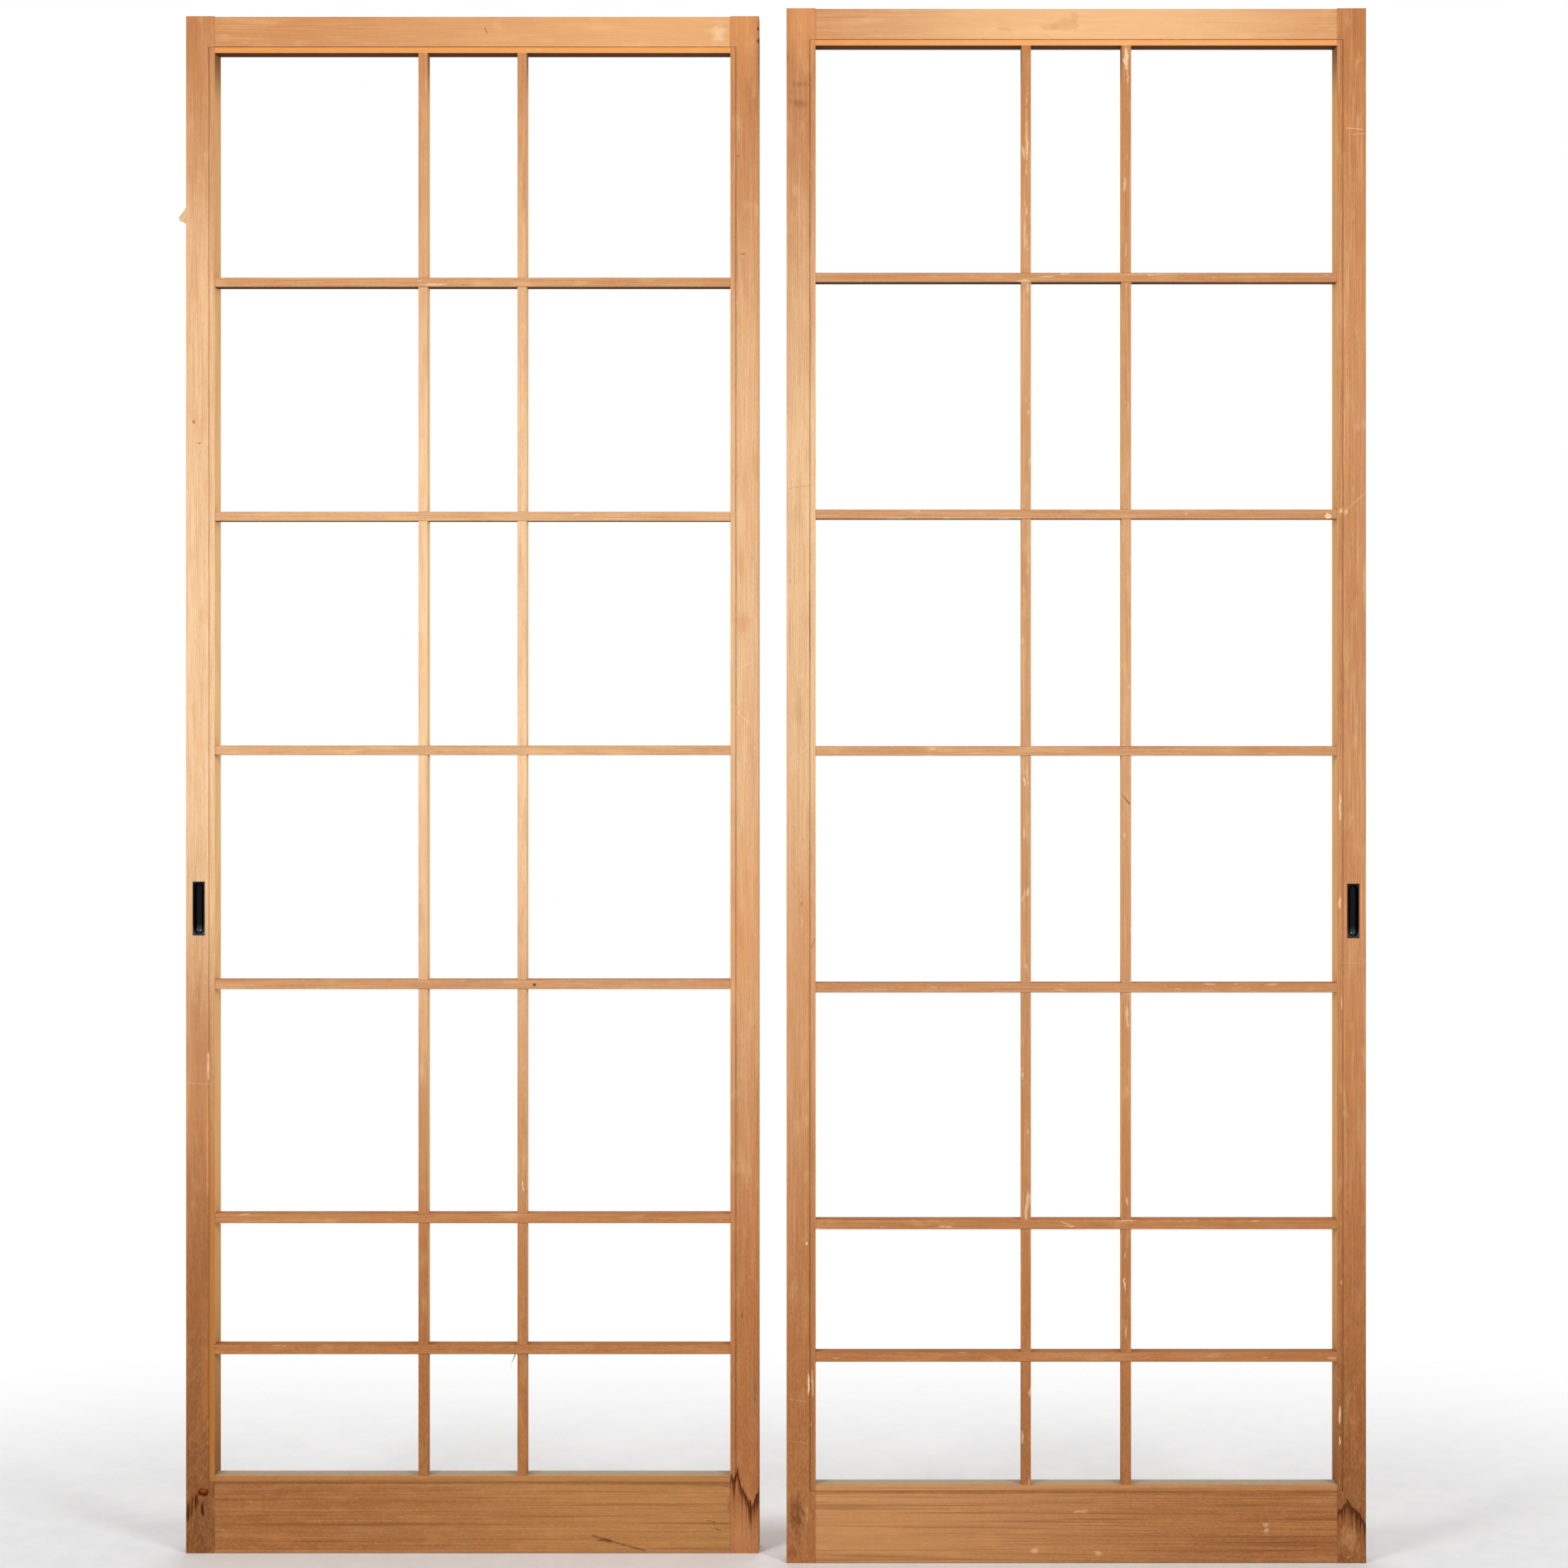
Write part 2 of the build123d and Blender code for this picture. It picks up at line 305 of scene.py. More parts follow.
    def tide(self, left, right, heights, spikes, band, colour, strength=0.9):
        """A dark water line across the front face, drawn out into points along the grain."""
        across = (self.x - left) * (1 / (right - left))
        top = max(heights)
        stops = [
            (number / (len(heights) - 1), (level / top,) * 3 + (1.0,))
            for number, level in enumerate(heights)
        ]
        level = across.node("ValToRGB", {"stops": stops}, {0: across}) * top
        points = self.place.cloud((240.0, 5.0, 7.0), 9.0, 1.0) - 0.5
        fine_points = self.place.cloud((760.0, 5.0, 18.0), 10.0, 2.0) - 0.5
        depth = level + points * spikes + fine_points * spikes - self.z
        drawn = self.streaks() * band * 2.4 + band * 0.6
        inside = across.rise(-0.01, 0.01) * across.rise(1.01, 0.99)
        on_face = depth.rise(0.0, 0.0012) * inside * self.paper_side
        below = depth / drawn
        self.stain(on_face * below.rise(2.8, 0.5) * strength * 0.5, shade(136, 70, 34))
        self.stain(on_face * below.rise(1.1, 0.45) * strength, colour)

    def streaks(self):
        """Fine uneven streaks drawn out along an upright grain."""
        return self.place.cloud((720.0, 5.0, 15.0), 11.0, 2.0).rise(0.28, 0.72)

    def bleed(self, x, z, half_width, half_height, colour, strength=0.9):
        """Resin or rot that has crept along the grain in streaks."""
        streaked = self.streaks().rise(0.30, 0.60)
        patch = self.spot(x, z, half_width, half_height, 0.8, 0.4)
        self.stain(patch * streaked * self.paper_side * strength, colour)

    def dress(self, *names):
        """Finish the wood and give it to the pieces with these names."""
        bump = {"Strength": 0.35, "Distance": 0.0004, "Height": self.relief}
        wood = {
            "Base Color": self.colour,
            "Roughness": self.roughness,
            "Specular IOR Level": 0.01,
            "Normal": self.relief.node("Bump", {}, bump),
        }
        close_finish(self.finish, self.relief.node("BsdfPrincipled", {}, wood))
        for name in names:
            refinish(name, self.finish)


DARK = shade(66, 32, 18)
BRUISE = shade(128, 98, 76)
PALE = shade(250, 218, 178)
RESIN = shade(196, 112, 50)

left_outer = Board(
    "left_outer_stile_wood", "z", (-0.93, 0.03), LEFT_FRONT, 1.0, 0.95, 0.20, foot=1.0,
    knots=((-0.667, 0.071, 0.004), (-0.678, 1.325, 0.002)),
)
left_outer.seam(left_outer.x, -0.6608, 0.0007, 0.20, REBATE_SPAN)
left_outer.mark(-0.6720, 0.3600, 0.0300, 0.1900, shade(142, 82, 42), 0.35, 0.6, 0.2)
left_outer.mark(-0.6720, 0.5800, 0.0400, 0.2200, shade(168, 100, 52), 0.52, 0.4, 0.0)
left_outer.mark(-0.6720, 1.7500, 0.0400, 0.2800, shade(170, 106, 60), 0.36, 0.4, 0.0)
covered = left_outer.x.rise(-0.6612, -0.6604) * left_outer.z.rise(0.72, 0.30)
covered = covered * left_outer.z.rise(BOTTOM_RAIL_TOP, BOTTOM_RAIL_TOP + 0.0004)
left_outer.stain(covered * left_outer.paper_side * 0.6, shade(190, 128, 62))
left_outer.scratch((-0.6875, 0.5505), (-0.6560, 0.5490), 0.0005, PALE, 0.45)
left_outer.knot(-0.6670, 0.0715, 0.0085, 0.0060, 1.0)
for x, z, half_width, half_height in (
    (-0.6768, 0.0600, 0.0055, 0.0130),
    (-0.6840, 0.0470, 0.0055, 0.0160),
    (-0.6670, 0.0520, 0.0045, 0.0120),
):
    left_outer.bleed(x, z, half_width, half_height, shade(80, 34, 12), 1.0)
left_outer.mark(-0.6600, 0.1310, 0.0024, 0.0050, RESIN, 0.6, 1.2)
left_outer.mark(-0.6615, 0.1520, 0.0016, 0.0070, RESIN, 0.6, 1.2)
left_outer.mark(-0.6784, 1.3250, 0.0022, 0.0026, shade(168, 92, 52), 0.8)
left_outer.mark(-0.6715, 1.3000, 0.0030, 0.0014, shade(178, 102, 60), 0.7)
left_outer.mark(-0.6613, 0.5690, 0.0011, 0.0230, PALE, 0.8, 1.6)
left_outer.mark(-0.6622, 0.4700, 0.0022, 0.0900, shade(226, 158, 96), 0.55, 2.0, 0.0)
left_outer.mark(-0.6650, 0.1950, 0.0060, 0.0900, shade(196, 128, 70), 0.35, 2.0, 0.0)
left_outer.dress("left_outer_stile")

left_meeting = Board(
    "left_meeting_stile_wood", "z", (0.21, 0.05), LEFT_FRONT, 2.0, 0.75, 0.22, foot=0.30
)
left_meeting.mark(-0.0332, 1.8000, 0.0400, 0.1100, shade(228, 158, 100), 0.55, 0.4, 0.0)
left_meeting.mark(-0.0332, 0.0250, 0.0300, 0.0620, shade(206, 150, 100), 0.42, 0.6, 0.0)
left_meeting.mark(-0.0332, 0.7400, 0.0400, 0.1700, shade(218, 144, 76), 0.32, 0.6, 0.0)
left_meeting.seam(left_meeting.x, -0.0432, 0.0007, 0.45, REBATE_SPAN)
left_meeting.tide(
    -0.0500, -0.0165, (0.0925, 0.0880, 0.0990, 0.0830, 0.0750, 0.0640, 0.0560, 0.0690, 0.0740),
    0.024, 0.0110, shade(80, 38, 20), 0.85,
)
for z in (1.7853, 1.7711):
    left_meeting.mark(-0.0175, z, 0.0016, 0.0032, DARK, 0.8)
left_meeting.mark(-0.0348, 1.5215, 0.0050, 0.0016, BRUISE, 0.5)
left_meeting.mark(-0.0408, 1.6359, 0.0030, 0.0018, BRUISE, 0.45)
left_meeting.mark(-0.0362, 0.2784, 0.0007, 0.0060, DARK, 0.7)
left_meeting.mark(-0.0215, 0.1900, 0.0024, 0.0380, BRUISE, 0.65, 1.6, 0.1)
left_meeting.scratch((-0.0420, 0.9850), (-0.0250, 0.9700), 0.0006, PALE, 0.55)
left_meeting.scratch((-0.0450, 1.0340), (-0.0230, 1.0440), 0.0006, PALE, 0.45)
left_meeting.mark(-0.0350, 1.0900, 0.0130, 0.0200, shade(206, 138, 88), 0.35, 1.2, 0.1)
left_meeting.dress("left_meeting_stile")

right_meeting = Board(
    "right_meeting_stile_wood", "z", (-0.24, 0.02), RIGHT_FRONT, 3.0, 0.77, 0.26,
    foot=0.38, lines=0.5,
)
right_meeting.mark(0.0332, 1.8000, 0.0400, 0.1000, shade(232, 162, 104), 0.55, 0.4, 0.0)
right_meeting.mark(0.0332, 0.7000, 0.0400, 0.2300, shade(200, 128, 76), 0.40, 0.6, 0.0)
right_meeting.seam(right_meeting.x, 0.0432, 0.0007, 0.44, REBATE_SPAN)
right_meeting.mark(0.0317, 1.7120, 0.0150, 0.0045, BRUISE, 0.45, 1.4, 0.1)
right_meeting.mark(0.0317, 1.6900, 0.0160, 0.0075, shade(116, 84, 62), 0.50, 1.6, 0.0)
right_meeting.mark(0.0180, 1.7430, 0.0020, 0.0090, shade(110, 80, 60), 0.40, 1.4, 0.0)
right_meeting.scratch((0.0382, 1.3174), (0.0385, 1.3023), 0.0008, PALE, 0.7)
right_meeting.scratch((0.0190, 1.2440), (0.0425, 1.2475), 0.0005, BRUISE, 0.6)
right_meeting.scratch((0.0433, 1.1251), (0.0434, 1.0459), 0.0007, DARK, 0.8)
right_meeting.knot(0.0339, 0.7631, 0.0018, 0.0024, 0.3)
right_meeting.mark(0.0344, 0.7420, 0.0012, 0.0170, PALE, 0.5, 1.4, 0.0)
right_meeting.scratch((0.0455, 0.7120), (0.0492, 0.7225), 0.0007, DARK, 0.7)
right_meeting.mark(0.0420, 0.2088, 0.0013, 0.0190, PALE, 0.85, 1.4)
right_meeting.scratch((0.0175, 0.1900), (0.0410, 0.1868), 0.0007, PALE, 0.18)
right_meeting.scratch((0.0175, 0.1425), (0.0405, 0.1388), 0.0007, PALE, 0.18)
right_meeting.scratch((0.0403, 0.0646), (0.0402, 0.0495), 0.0009, PALE, 0.35)
right_meeting.mark(0.0290, 0.0550, 0.0120, 0.0340, shade(88, 48, 28), 0.6, 2.2, 0.0)
right_meeting.mark(0.0240, 0.0120, 0.0090, 0.0120, shade(104, 58, 32), 0.45, 2.2, 0.0)
right_meeting.mark(0.0400, 0.3700, 0.0012, 0.0025, PALE, 0.8)
right_meeting.mark(0.0440, 0.1600, 0.0020, 0.0030, PALE, 0.25, 2.0, 0.0)
right_meeting.dress("right_meeting_stile")

right_outer = Board(
    "right_outer_stile_wood", "z", (0.92, -0.01), RIGHT_FRONT, 4.0, 0.22, 0.44,
    foot=0.90, lines=0.5,
)
right_outer.seam(right_outer.x, 0.6608, 0.0007, 0.24, REBATE_SPAN)
right_outer.seam(right_outer.x, 0.6575, 0.0005, 0.10, REBATE_SPAN)
right_outer.tide(
    0.6540, 0.6875, (0.0600, 0.0650, 0.0700, 0.0730, 0.0670, 0.0640, 0.0600, 0.0520, 0.0400),
    0.012, 0.0080, shade(78, 40, 22), 0.85,
)
right_outer.bleed(0.6765, 0.0480, 0.0110, 0.0200, shade(80, 40, 24), 0.8)
right_outer.mark(0.6680, 0.0300, 0.0150, 0.0260, shade(204, 146, 98), 0.50, 1.6, 0.0)
for x, z, half_width, half_height in (
    (0.6571, 0.8750, 0.0013, 0.0210),
    (0.6569, 0.7640, 0.0015, 0.0095),
    (0.6571, 0.1710, 0.0015, 0.0120),
    (0.6570, 0.1410, 0.0013, 0.0060),
    (0.6670, 0.0070, 0.0010, 0.0011),
    (0.6585, 1.2180, 0.0030, 0.0045),
    (0.6590, 0.6480, 0.0008, 0.0160),
    (0.6590, 0.3250, 0.0012, 0.0040),
):
    right_outer.mark(x, z, half_width, half_height, PALE, 0.6, 1.6, 0.1)
right_outer.scratch((0.6610, 1.2160), (0.6870, 1.2400), 0.0009, PALE, 0.26)
right_outer.scratch((0.6650, 1.6614), (0.6840, 1.6598), 0.0007, PALE, 0.55)
right_outer.scratch((0.6720, 1.6540), (0.6870, 1.6548), 0.0006, PALE, 0.45)
right_outer.scratch((0.6560, 0.6950), (0.6850, 0.6940), 0.0006, PALE, 0.16)
right_outer.dress("right_outer_stile")


# The top rails
#
# Level boards of the same wood, shouldered against the stiles. Their tenons run through and end
# flush. The paper rebate along the lower edge was covered, so its wood is still fresh and orange.

FRESH = shade(240, 158, 78)
LEFT_CENTRE, RIGHT_CENTRE = -0.352, 0.352
RAIL_REACH = 0.302


def rail_ends(rail, centre_x, rebate_z, rebate_side, fresh, colour):
    """Dirt in a rail's joints with the stiles, and the wood that the paper covered.
    rebate_side is 1 where the rebate lies under its line at rebate_z, and -1 where over it."""
    for end in (-1, 1):
        rail.seam(rail.x, centre_x + end * RAIL_REACH, 0.0007, 0.45)
    covered = rail.z.rise(rebate_z, rebate_z - rebate_side * 0.0004)
    rail.stain(covered * rail.paper_side * fresh, colour)
    rail.seam(rail.z, rebate_z, 0.0006, 0.5)


left_head = Board("left_top_rail_wood", "x", (2.05, 0.05), LEFT_FRONT, 5.0, 0.30, 0.10, lines=0.28)
# Paler towards the middle of the pair, partly sunlight bleaching and partly a painted pool of light
bleached_and_lit = left_head.x.rise(-0.62, -0.08) * 0.42 + 0.16
left_head.stain(bleached_and_lit * left_head.paper_side, shade(246, 190, 132))
rail_ends(left_head, LEFT_CENTRE, TOP_RAIL_FOOT, 1, 0.60, FRESH)
left_head.scratch((-0.3372, 1.7860), (-0.3348, 1.7796), 0.0008, DARK, 0.8)
left_head.mark(-0.0630, 1.7800, 0.0140, 0.0170, PALE, 0.45, 1.8, 0.0)
left_head.dress("left_top_rail")

right_head = Board(
    "right_top_rail_wood", "x", (2.05, 0.0), RIGHT_FRONT, 7.0, 0.35, 0.10, lines=0.28
)
# Paler in its middle, partly sunlight bleaching and partly a painted pool of light
bleached_and_lit = right_head.x.rise(0.02, 0.32) * right_head.x.rise(0.72, 0.42) * 0.46 + 0.16
right_head.stain(bleached_and_lit * right_head.paper_side, shade(252, 204, 150))
for x, z, half_width, half_height in (
    (0.3400, 1.7800, 0.0170, 0.0080),
    (0.3180, 1.7785, 0.0120, 0.0045),
    (0.3500, 1.7890, 0.0060, 0.0060),
    (0.2700, 1.7760, 0.0140, 0.0040),
):
    right_head.mark(x, z, half_width, half_height, shade(202, 142, 88), 0.28, 2.4, 0.6)
rail_ends(right_head, RIGHT_CENTRE, TOP_RAIL_FOOT, 1, 0.60, FRESH)
right_head.dress("right_top_rail")


# The bottom rails
#
# Level boards of the same wood, twice as tall as the top rails and cut with a flatter figure. Two
# tenons at each end go through the stiles. Dust has settled on their upper edge.

left_foot = Board(
    "left_bottom_rail_wood", "x", (-0.16, 0.10), LEFT_FRONT, 6.0, 0.0, 0.30,
    foot=0.60, lines=0.75, ring_width=0.0042,
)
left_foot.stain(left_foot.x.rise(-0.60, -0.10) * 0.24 + 0.08, shade(222, 170, 106))
rail_ends(left_foot, LEFT_CENTRE, BOTTOM_RAIL_TOP, -1, 0.45, shade(200, 138, 80))
left_foot.scratch((-0.2110, 0.0205), (-0.1500, 0.0030), 0.0014, DARK, 0.75)
left_foot.mark(-0.1950, 0.0150, 0.0120, 0.0030, shade(92, 50, 28), 0.6, 1.8)
left_foot.scratch((-0.0764, 0.0383), (-0.0680, 0.0365), 0.0008, DARK, 0.7)
left_foot.scratch((-0.0690, 0.0300), (-0.0603, 0.0260), 0.0008, DARK, 0.7)
left_foot.scratch((-0.0570, 0.0790), (-0.0510, 0.0770), 0.0009, DARK, 0.7)
left_foot.mark(-0.0520, 0.0560, 0.0020, 0.0200, shade(92, 50, 28), 0.4, 1.6, 0.0)

right_foot = Board(
    "right_bottom_rail_wood", "x", (-0.16, 0.06), RIGHT_FRONT, 8.0, 0.0, 0.25,
    foot=0.53, lines=0.75, ring_width=0.0036,
)
right_foot.stain(right_foot.x.rise(0.62, 0.10) * 0.38 + 0.05, shade(232, 176, 118))
rail_ends(right_foot, RIGHT_CENTRE, BOTTOM_RAIL_TOP, -1, 0.40, shade(214, 150, 92))
for x, z, half_width, half_height in (
    (0.3580, 0.0590, 0.0150, 0.0026),
    (0.3040, 0.0150, 0.0060, 0.0045),
    (0.3780, 0.0120, 0.0070, 0.0030),
    (0.5720, 0.0400, 0.0040, 0.0110),
):
    right_foot.mark(x, z, half_width, half_height, PALE, 0.34, 3.0, 0.0)
for rail, name in ((left_foot, "left_bottom_rail"), (right_foot, "right_bottom_rail")):
    shaded = rail.z.rise(0.0790, 0.0825) * rail.z.rise(0.0838, 0.0832)
    shaded = shaded * (rail.ragged * 0.5 + 0.2)
    rail.stain(shaded * rail.paper_side, shade(112, 66, 34))
    streaks = rail.place.cloud((2.6, 60.0, 210.0), 31.0, 3.0, 0.4)
    rail.stain(streaks.rise(0.52, 0.72) * rail.paper_side * 0.42, shade(120, 68, 32))
    fine_streaks = rail.place.cloud((5.0, 60.0, 560.0), 32.0, 3.0)
    rail.stain(fine_streaks.rise(0.52, 0.74) * rail.paper_side * 0.40, shade(104, 60, 30))
    rail.stain(streaks.rise(0.46, 0.28) * rail.paper_side * 0.26, shade(216, 156, 92))
    rail.stain(rail.turned_up * (rail.ragged.rise(0.2, 0.6) * 0.3 + 0.6), shade(188, 172, 146))
    rail.dress(name)


# The upright bars
#
# Thin bars of the same wood, two to a panel, tenoned into both rails and notched in front where
# the cross bars pass. Paste is left on their faces.

for side, front, number, x, seed, sunned_and_lit, browned, paste in (
    ("left", LEFT_FRONT, 1, -0.410, 12.0, 0.95, 0.18, 0.15),
    ("left", LEFT_FRONT, 2, -0.294, 13.0, 0.98, 0.18, 0.20),
    ("right", RIGHT_FRONT, 1, 0.294, 22.0, 0.42, 0.38, 0.62),
    ("right", RIGHT_FRONT, 2, 0.410, 23.0, 0.42, 0.38, 0.48),
):
    bar = f"{side}_upright_bar_{number}"
    pith = (x - 0.4, front + 0.03)
    upright = Board(bar + "_wood", "z", pith, front, seed, sunned_and_lit, browned, foot=0.48)
    upright.paste(paste)
    if bar == "right_upright_bar_2":
        upright.scratch((0.4060, 0.8885), (0.4136, 0.8790), 0.0014, DARK, 0.75)
        upright.mark(0.4100, 1.7390, 0.0028, 0.0180, PALE, 0.7, 1.5)
    if bar == "right_upright_bar_1":
        upright.mark(0.2945, 1.6500, 0.0018, 0.0600, shade(232, 196, 150), 0.6, 2.0, 0.0)
        upright.mark(0.2925, 1.5400, 0.0016, 0.0450, shade(232, 196, 150), 0.6, 2.0, 0.0)
    upright.dress(bar)


# The cross bars
#
# Thin bars of the same wood, six to a panel, tenoned into the stiles. They are notched behind, so
# each runs unbroken over the front of the upright bars.

for side, centre_x, front, seed, sunned_and_lit, browned, paste in (
    ("left", LEFT_CENTRE, LEFT_FRONT, 15.0, 0.50, 0.28, 0.30),
    ("right", RIGHT_CENTRE, RIGHT_FRONT, 25.0, 0.35, 0.36, 0.52),
):
    pith = (2.9, front + 0.03)
    crosses = Board(f"{side}_cross_bars_wood", "x", pith, front, seed, sunned_and_lit, browned, foot=0.20)
    crosses.paste(paste)
    for end in (-1, 1):
        crosses.seam(crosses.x, centre_x + end * RAIL_REACH, 0.0008, 0.6)
    if side == "left":
        crosses.mark(-0.2794, 0.6655, 0.0030, 0.0026, DARK, 0.8)
        crosses.mark(-0.3960, 1.4860, 0.0200, 0.0026, PALE, 0.7, 2.2, 0.0)
    else:
        crosses.stain(crosses.x.rise(0.38, 0.66) * 0.34, shade(168, 110, 66))
        crosses.mark(0.6440, 1.2110, 0.0050, 0.0030, PALE, 0.85, 1.4)
    crosses.dress(*(f"{side}_cross_bar_{number}" for number in range(1, 7)))


# The last of the paper
#
# The paper sheets are gone. Flakes of them are still stuck to the lattice and the rebates with
# dried paste, and one torn scrap is pasted to the back of the left outer stile.

old_paper, paper_place = new_finish("old_paper")
pulp = paper_place.cloud((500.0, 500.0, 220.0), 2.0, 4.0, 1.0)
foxing = paper_place.cloud((90.0, 90.0, 90.0), 5.0, 2.0)
paper_colour = foxing.rise(0.45, 0.75).blend(shade(228, 198, 156), shade(202, 158, 110))
paper_colour = (pulp.rise(0.45, 0.75) * 0.5).blend(paper_colour, shade(222, 190, 150))
paper_bump = pulp.node("Bump", {}, {"Strength": 0.5, "Distance": 0.0002, "Height": pulp})
paper_inputs = {"Base Color": paper_colour, "Roughness": 0.82 + pulp * 0.1, "Normal": paper_bump}
close_finish(old_paper, pulp.node("BsdfPrincipled", {}, paper_inputs))

# How far a flake's middle stands off its face, and how far its edges sink in
PAPER_LIFT, PAPER_SUNK = 0.00016, 0.00005


def piece_from(name, shape, body, finish):
    """Turn a finished shape into a piece that rides with a panel."""
    bmesh.ops.recalc_face_normals(shape, faces=shape.faces)
    mesh = bpy.data.meshes.new(name)
    shape.to_mesh(mesh)
    shape.free()
    for face in mesh.polygons:
        face.use_smooth = True
    mesh.materials.append(finish)
    piece = bpy.data.objects.new(name, mesh)
    bpy.context.scene.collection.objects.link(piece)
    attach(piece, body)


def paper_flake(name, body, face_y, x, z, half_width, half_height, seed):
    """A ragged strip of paper lying flat on a face, a fifth of a millimetre thick in its middle."""
    chance = random.Random(seed)
    turns = [chance.uniform(0, math.tau) for _ in range(6)]
    reach, breadth = max(half_width, half_height), min(half_width, half_height)
    rows = 30
    shape = bmesh.new()
    sections = []
    for row in range(rows + 1):
        along = row / rows * 2 - 1
        taper = max(0.06, (1 - abs(along) ** 3) ** 0.6)
        bend, wriggle = math.sin(2.2 * along + turns[0]), math.sin(6.0 * along + turns[1])
        drift = breadth * (0.45 * bend + 0.2 * wriggle)
        low, high = (
            taper * breadth * (
                0.62
                + 0.26 * math.sin(7.0 * along + turns[edge])
                + 0.16 * math.sin(19.0 * along + turns[edge + 2])
            )
            for edge in (2, 3)
        )
        section = []
        for across, lift in (
            (-low, -PAPER_SUNK),
            (-low * 0.7, PAPER_LIFT),
            (high * 0.7, PAPER_LIFT),
            (high, -PAPER_SUNK),
        ):
            offset = (drift + across, along * reach)
            if half_width > half_height:
                offset = offset[::-1]
            section.append(shape.verts.new((x + offset[0], face_y - lift, z + offset[1])))
        sections.append(section)
    for section, after in zip(sections, sections[1:]):
        for corner in range(4):
            beside = (corner + 1) % 4
            shape.faces.new((section[corner], section[beside], after[beside], after[corner]))
    shape.faces.new(sections[0])
    shape.faces.new(sections[-1])
    piece_from(name, shape, body, old_paper)


LEFT_BAR_FACE, RIGHT_BAR_FACE = LEFT_FRONT + REBATE_DEPTH, RIGHT_FRONT + REBATE_DEPTH
for number, (body, face_y, x, z, half_width, half_height) in enumerate(
    (
        ("left_panel", LEFT_BAR_FACE, -0.2800, 1.7607, 0.0100, 0.0012),
        ("left_panel", LEFT_BAR_FACE, -0.3880, 1.4862, 0.0060, 0.0014),
        ("left_panel", LEFT_BAR_FACE, -0.4140, 1.4900, 0.0030, 0.0010),
        ("left_panel", LEFT_BAR_FACE, -0.2300, 1.2160, 0.0050, 0.0012),
        ("left_panel", LEFT_BAR_FACE, -0.2930, 0.4300, 0.0014, 0.0070),
        ("right_panel", RIGHT_BAR_FACE, 0.4092, 1.7420, 0.0022, 0.0130),
        ("right_panel", RIGHT_BAR_FACE, 0.4115, 1.7200, 0.0012, 0.0070),
        ("right_panel", RIGHT_BAR_FACE, 0.2950, 1.6380, 0.0013, 0.0150),
        ("right_panel", RIGHT_BAR_FACE, 0.2920, 0.9050, 0.0018, 0.0060),
        ("right_panel", RIGHT_BAR_FACE, 0.4080, 0.3230, 0.0016, 0.0080),
        ("right_panel", RIGHT_BAR_FACE, 0.3440, 0.3900, 0.0070, 0.0012),
        ("right_panel", RIGHT_BAR_FACE, 0.6440, 1.2140, 0.0032, 0.0022),
        ("right_panel", RIGHT_BAR_FACE, 0.6573, 0.8750, 0.0013, 0.0200),
        ("right_panel", RIGHT_BAR_FACE, 0.6572, 0.7640, 0.0011, 0.0085),
        ("right_panel", RIGHT_BAR_FACE, 0.6573, 0.1710, 0.0012, 0.0110),
        ("right_panel", RIGHT_BAR_FACE, 0.6570, 0.1410, 0.0010, 0.0055),
        ("right_panel", RIGHT_BAR_FACE, 0.0465, 0.2080, 0.0010, 0.0160),
        ("right_panel", RIGHT_FRONT, 0.6635, 1.2170, 0.0026, 0.0034),
    ),
    start=1,
):
    paper_flake(f"paper_flake_{number}", body, face_y, x, z, half_width, half_height, number)

# The torn scrap: a thin sheet, pasted to the back by its inner part. The rest stands out past the
# stile's edge, narrows to a torn point, and curls back and down.
SCRAP_ROOT = (-0.6725, 0.03152, 1.5750)
SCRAP_REACH, SCRAP_HEIGHT, SCRAP_THICKNESS = 0.0308, 0.028, 0.00012
PASTED_SHARE = 0.55
columns, rows = 10, 14
scrap = bmesh.new()
corners = ({}, {})
for face in (0, 1):
    for column in range(columns + 1):
        for row in range(rows + 1):
            out = column / columns
            loose = max(out - PASTED_SHARE, 0.0) / (1 - PASTED_SHARE)
            height = (row / rows - 0.5) * (SCRAP_HEIGHT - 0.025 * loose)
            tear = 0.0009 * math.sin(row * 2.3 + 1.0) * out + 0.0006 * math.sin(row * 5.1) * out
            x = SCRAP_ROOT[0] - out * SCRAP_REACH - tear
            y = SCRAP_ROOT[1] + 0.0016 * loose * loose + SCRAP_THICKNESS * face
            z = SCRAP_ROOT[2] + height - 0.0070 * loose
            corners[face][column, row] = scrap.verts.new((x, y, z))
for face in (0, 1):
    for column in range(columns):
        for row in range(rows):
            square = ((column, row), (column + 1, row), (column + 1, row + 1), (column, row + 1))
            scrap.faces.new([corners[face][corner] for corner in square])
rim = [(column, 0) for column in range(columns)]
rim += [(columns, row) for row in range(rows)]
rim += [(column, rows) for column in range(columns, 0, -1)]
rim += [(0, row) for row in range(rows, 0, -1)]
for here, there in zip(rim, rim[1:] + rim[:1]):
    scrap.faces.new([corners[0][here], corners[0][there], corners[1][there], corners[1][here]])
piece_from("torn_scrap", scrap, "left_panel", old_paper)


# The splinter
#
# A dark sliver of wood lifted from the underside of the lowest left cross bar. It hangs by its
# root, and a pale fibre of paper hangs beside it.

sliver_wood, sliver_place = new_finish("sliver_wood")
sliver_grain = sliver_place.cloud((2500.0, 2500.0, 300.0), 3.0, 2.0)
sliver_colour = sliver_grain.rise(0.3, 0.7).blend(shade(70, 40, 24), shade(128, 80, 46))
sliver_inputs = {"Base Color": sliver_colour, "Roughness": 0.6 + sliver_grain * 0.2}
close_finish(sliver_wood, sliver_grain.node("BsdfPrincipled", {}, sliver_inputs))


